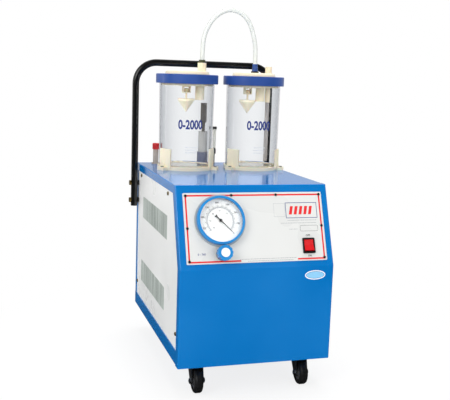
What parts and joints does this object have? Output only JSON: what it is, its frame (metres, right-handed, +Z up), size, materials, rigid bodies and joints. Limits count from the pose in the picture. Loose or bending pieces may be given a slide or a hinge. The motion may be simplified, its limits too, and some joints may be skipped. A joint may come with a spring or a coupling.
{
  "type": "vacuum aspirator",
  "caption": "Suction trolley: a steel cabinet on swivel casters with gauge, regulator and rocker switch, carrying clear collection jars with float-valve lids joined by a hose.",
  "frame": {"origin": "on the floor under the middle of the whole trolley, hose not counted", "axes": "+Z up, the control face towards -Y, +X to the right of someone facing it"},
  "size_m": [0.365, 0.5068, 0.7871],
  "materials": {
    "cabinet paint": "gloss blue",
    "side panel paint": "semi-gloss white",
    "printed plate": "white with a red border line",
    "handle paint": "semi-gloss black",
    "zinc plate": "zinc plated",
    "brass screws": "yellow zinc or brass",
    "cream plastic": "moulded",
    "blue plastic": "moulded",
    "black plastic": "moulded",
    "clear jar": "clear",
    "gauge glass": "clear",
    "hose": "translucent silicone",
    "tyre": "black rubber",
    "red plastic": "moulded",
    "filter plastic": "translucent",
    "motor": "cast and finned"
  },
  "bodies": {
    "cabinet": {"base_tray": "cabinet paint", "top_cover": "cabinet paint", "front_fascia": "cabinet paint", "rear_panel": "cabinet paint", "side_panel_left": "side panel paint", "side_panel_right": "side panel paint", "panel_screws": "brass screws", "control_plate": "printed plate", "plate_screws": "black plastic", "gauge_case": "zinc plate", "gauge_bezel": "blue plastic", "gauge_dial": "printed plate", "gauge_glass": "gauge glass", "regulator_valve": "zinc plate", "switch_housing": "black plastic", "push_handle": "handle paint", "handle_bolts": "brass screws", "jar_cradle_left": "cream plastic", "jar_cradle_right": "cream plastic", "cradle_screws": "zinc plate", "inlet_nozzle": "cream plastic", "filter_bowl": "black plastic", "filter_body": "filter plastic", "filter_riser": "filter plastic", "bleed_tube": "black plastic", "caster_plates": "zinc plate", "pump_motor": "motor", "pump_head": "motor", "pump_mounts": "black plastic", "power_inlet": "black plastic", "pump_pipes": "hose"},
    "needle": {"gauge_needle": "black plastic"},
    "knob": {"regulator_knob": "blue plastic", "knob_disc": "printed plate"},
    "rocker": {"switch_rocker": "red plastic"},
    "left_jar": {"jar_left": "clear jar"},
    "right_jar": {"jar_right": "clear jar"},
    "left_lid": {"lid_left": "cream plastic", "lid_gasket_left": "hose", "transfer_hose": "hose", "hose_collar": "black plastic"},
    "right_lid": {"lid_right": "cream plastic", "lid_gasket_right": "hose", "barb_grommet": "black plastic", "hose_barb": "blue plastic", "dip_tube": "hose"},
    "left_ring": {"lid_ring_left": "blue plastic"},
    "right_ring": {"lid_ring_right": "blue plastic"},
    "left_float": {"float_left": "cream plastic"},
    "right_float": {"float_right": "cream plastic"},
    "cap": {"nozzle_cap": "red plastic"},
    "rotor": {"motor_fan": "black plastic"},
    "swivel_front_left": {"caster_fork_front_left": "zinc plate"},
    "wheel_front_left": {"caster_wheel_front_left": "tyre"},
    "swivel_front_right": {"caster_fork_front_right": "zinc plate"},
    "wheel_front_right": {"caster_wheel_front_right": "tyre"},
    "swivel_rear_left": {"caster_fork_rear_left": "zinc plate"},
    "wheel_rear_left": {"caster_wheel_rear_left": "tyre"},
    "swivel_rear_right": {"caster_fork_rear_right": "zinc plate"},
    "wheel_rear_right": {"caster_wheel_rear_right": "tyre"}
  },
  "joints": [
    {"name": "needle_turn", "type": "hinge", "parent": "cabinet", "child": "needle", "pos_m": [-0.0735, -0.20633, 0.35166], "axis": [0, -0.9321, 0.3622], "range_deg": [0, 270]},
    {"name": "knob_turn", "type": "hinge", "parent": "cabinet", "child": "knob", "pos_m": [-0.0735, -0.23629, 0.29249], "axis": [0, -0.9321, 0.3622], "range_deg": [0, 1080]},
    {"name": "rocker_tilt", "type": "hinge", "parent": "cabinet", "child": "rocker", "pos_m": [0.1085, -0.21879, 0.29803], "axis": [1, 0, 0], "range_deg": [0, 16]},
    {"name": "left_jar_lift", "type": "slide", "parent": "cabinet", "child": "left_jar", "axis": [0, 0, 1], "range_m": [0, 0.25]},
    {"name": "right_jar_lift", "type": "slide", "parent": "cabinet", "child": "right_jar", "axis": [0, 0, 1], "range_m": [0, 0.25]},
    {"name": "left_lid_lift", "type": "slide", "parent": "left_jar", "child": "left_lid", "axis": [0, 0, 1], "range_m": [0, 0.22]},
    {"name": "right_lid_lift", "type": "slide", "parent": "right_jar", "child": "right_lid", "axis": [0, 0, 1], "range_m": [0, 0.22]},
    {"name": "left_ring_turn", "type": "hinge", "parent": "left_lid", "child": "left_ring", "pos_m": [-0.0695, 0.1108, 0.62], "axis": [0, 0, 1], "range_deg": [0, 360]},
    {"name": "right_ring_turn", "type": "hinge", "parent": "right_lid", "child": "right_ring", "pos_m": [0.091, 0.1108, 0.62], "axis": [0, 0, 1], "range_deg": [0, 360]},
    {"name": "left_float_rise", "type": "slide", "parent": "left_lid", "child": "left_float", "axis": [0, 0, 1], "range_m": [0, 0.0045]},
    {"name": "right_float_rise", "type": "slide", "parent": "right_lid", "child": "right_float", "axis": [0, 0, 1], "range_m": [0, 0.0045]},
    {"name": "cap_lift", "type": "slide", "parent": "cabinet", "child": "cap", "axis": [0, 0, 1], "range_m": [0, 0.03]},
    {"name": "rotor_spin", "type": "hinge", "parent": "cabinet", "child": "rotor", "pos_m": [0, 0.04, 0.15], "axis": [0, 1, 0], "continuous": true},
    {"name": "swivel_front_left_turn", "type": "hinge", "parent": "cabinet", "child": "swivel_front_left", "pos_m": [-0.112, -0.187, 0.052], "axis": [0, 0, 1], "continuous": true},
    {"name": "wheel_front_left_roll", "type": "hinge", "parent": "swivel_front_left", "child": "wheel_front_left", "pos_m": [-0.112, -0.203, 0.025], "axis": [1, 0, 0], "continuous": true},
    {"name": "swivel_front_right_turn", "type": "hinge", "parent": "cabinet", "child": "swivel_front_right", "pos_m": [0.112, -0.187, 0.052], "axis": [0, 0, 1], "continuous": true},
    {"name": "wheel_front_right_roll", "type": "hinge", "parent": "swivel_front_right", "child": "wheel_front_right", "pos_m": [0.112, -0.203, 0.025], "axis": [1, 0, 0], "continuous": true},
    {"name": "swivel_rear_left_turn", "type": "hinge", "parent": "cabinet", "child": "swivel_rear_left", "pos_m": [-0.112, 0.187, 0.052], "axis": [0, 0, 1], "continuous": true},
    {"name": "wheel_rear_left_roll", "type": "hinge", "parent": "swivel_rear_left", "child": "wheel_rear_left", "pos_m": [-0.112, 0.171, 0.025], "axis": [1, 0, 0], "continuous": true},
    {"name": "swivel_rear_right_turn", "type": "hinge", "parent": "cabinet", "child": "swivel_rear_right", "pos_m": [0.112, 0.187, 0.052], "axis": [0, 0, 1], "continuous": true},
    {"name": "wheel_rear_right_roll", "type": "hinge", "parent": "swivel_rear_right", "child": "wheel_rear_right", "pos_m": [0.112, 0.171, 0.025], "axis": [1, 0, 0], "continuous": true}
  ],
  "couplings": [
    {"joint": "right_jar_lift", "follows": "left_jar_lift", "ratio": 1},
    {"joint": "right_lid_lift", "follows": "left_lid_lift", "ratio": 1}
  ]
}
